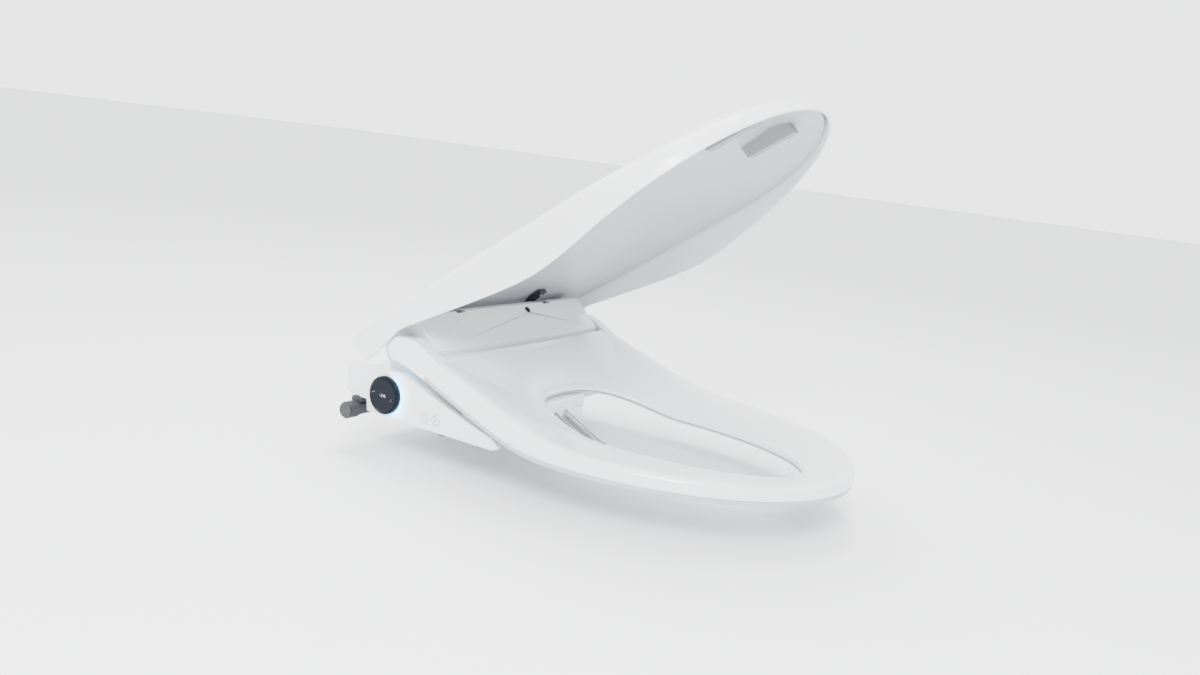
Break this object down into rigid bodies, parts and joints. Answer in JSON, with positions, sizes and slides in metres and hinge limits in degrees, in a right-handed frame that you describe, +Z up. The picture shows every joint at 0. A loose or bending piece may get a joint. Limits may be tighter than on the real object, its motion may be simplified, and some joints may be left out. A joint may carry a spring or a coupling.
{
  "type": "electric bidet seat",
  "caption": "Heated toilet seat with a contoured ring, soft-close lid, rear unit with side dial and push buttons, and two extending spray nozzles.",
  "frame": {"origin": "midway between the two fixing bolts, on the plane of the toilet rim that the fixing plate rests on", "axes": "+Z up; -Y towards the seat's nose; +X to the right of someone looking from the nose to the unit, so the controls are on the -X side"},
  "size_m": [0.3865, 0.528, 0.4318],
  "materials": {
    "gloss_white": "gloss",
    "satin_white": "satin",
    "bumper_grey": "matt",
    "dark_face": "gloss",
    "light_guide": "lit",
    "led_green": "lit",
    "grey_plastic": "satin",
    "chrome": "polished",
    "steel": "brushed",
    "foot_rubber": "matt",
    "plate_plastic": "matt",
    "board_green": "satin",
    "heater_foil": "satin"
  },
  "bodies": {
    "plate": {"mounting_plate": "plate_plastic", "mounting_bolts": "steel"},
    "unit": {"base_tray": "gloss_white", "top_cover": "gloss_white", "control_side_panel": "gloss_white", "plain_side_panel": "gloss_white", "rubber_feet": "foot_rubber", "housing_screws": "steel", "halo_light_ring": "light_guide", "led_lenses": "led_green", "sensor_window": "dark_face", "hinge_shafts": "steel", "seat_damper": "grey_plastic", "lid_damper": "grey_plastic", "nozzle_box": "gloss_white", "nozzle_motors": "steel", "dryer_duct": "plate_plastic", "air_blower": "plate_plastic", "water_heater_tank": "plate_plastic", "solenoid_valve": "grey_plastic", "supply_hose": "plate_plastic", "control_board": "board_green", "power_module": "grey_plastic", "deodoriser_cartridge": "plate_plastic", "inlet_valve_body": "grey_plastic", "inlet_bracket": "grey_plastic", "inlet_filter": "steel", "power_gland": "grey_plastic"},
    "dial_ring": {"dial_ring": "dark_face"},
    "dial_face": {"dial_face": "dark_face"},
    "rear_button": {"rear_button": "gloss_white"},
    "front_button": {"front_button": "gloss_white"},
    "rear_nozzle": {"rear_nozzle": "chrome", "rear_nozzle_tip": "chrome"},
    "front_nozzle": {"front_nozzle": "chrome", "front_nozzle_tip": "chrome"},
    "dryer_flap": {"dryer_flap": "gloss_white"},
    "inlet_cap": {"inlet_cap": "grey_plastic"},
    "seat": {"seat_top_shell": "gloss_white", "seat_bottom_shell": "satin_white", "seat_heater": "heater_foil", "seat_bumpers": "bumper_grey", "seat_hinge_bushes": "grey_plastic"},
    "lid": {"lid_outer_shell": "gloss_white", "lid_inner_panel": "satin_white", "lid_bumpers": "bumper_grey", "lid_hinge_arms": "grey_plastic", "lid_arm_screws": "steel"}
  },
  "joints": [
    {"name": "unit_slide", "type": "slide", "parent": "plate", "child": "unit", "axis": [0, -1, 0], "range_m": [0, 0.04]},
    {"name": "seat_hinge", "type": "hinge", "parent": "unit", "child": "seat", "pos_m": [0, -0.018, 0.08], "axis": [1, 0, 0], "range_deg": [-61, 0]},
    {"name": "lid_hinge", "type": "hinge", "parent": "seat", "child": "lid", "pos_m": [0, -0.018, 0.08], "axis": [-1, 0, 0], "range_deg": [-46.5, 61.5]},
    {"name": "dial_turn", "type": "hinge", "parent": "unit", "child": "dial_ring", "pos_m": [-0.178, -0.004, 0.0252], "axis": [-1, 0, 0], "continuous": true},
    {"name": "dial_press", "type": "slide", "parent": "unit", "child": "dial_face", "axis": [1, 0, 0], "range_m": [0, 0.0012], "stiffness_N_per_m": 600, "springref_m": -0.001},
    {"name": "rear_button_press", "type": "slide", "parent": "unit", "child": "rear_button", "axis": [1, 0, 0], "range_m": [0, 0.0012], "stiffness_N_per_m": 400, "springref_m": -0.001},
    {"name": "front_button_press", "type": "slide", "parent": "unit", "child": "front_button", "axis": [1, 0, 0], "range_m": [0, 0.0012], "stiffness_N_per_m": 400, "springref_m": -0.001},
    {"name": "rear_nozzle_slide", "type": "slide", "parent": "unit", "child": "rear_nozzle", "axis": [0, -0.9063, -0.4226], "range_m": [-0.073, 0]},
    {"name": "front_nozzle_slide", "type": "slide", "parent": "unit", "child": "front_nozzle", "axis": [0, -0.9063, -0.4226], "range_m": [-0.0575, 0]},
    {"name": "dryer_flap_hinge", "type": "hinge", "parent": "unit", "child": "dryer_flap", "pos_m": [0.0255, -0.1243, 0.0212], "axis": [-1, 0, 0], "range_deg": [0, 60]},
    {"name": "inlet_cap_turn", "type": "hinge", "parent": "unit", "child": "inlet_cap", "pos_m": [-0.188, 0.037, 0.0005], "axis": [-1, 0, 0], "continuous": true}
  ]
}
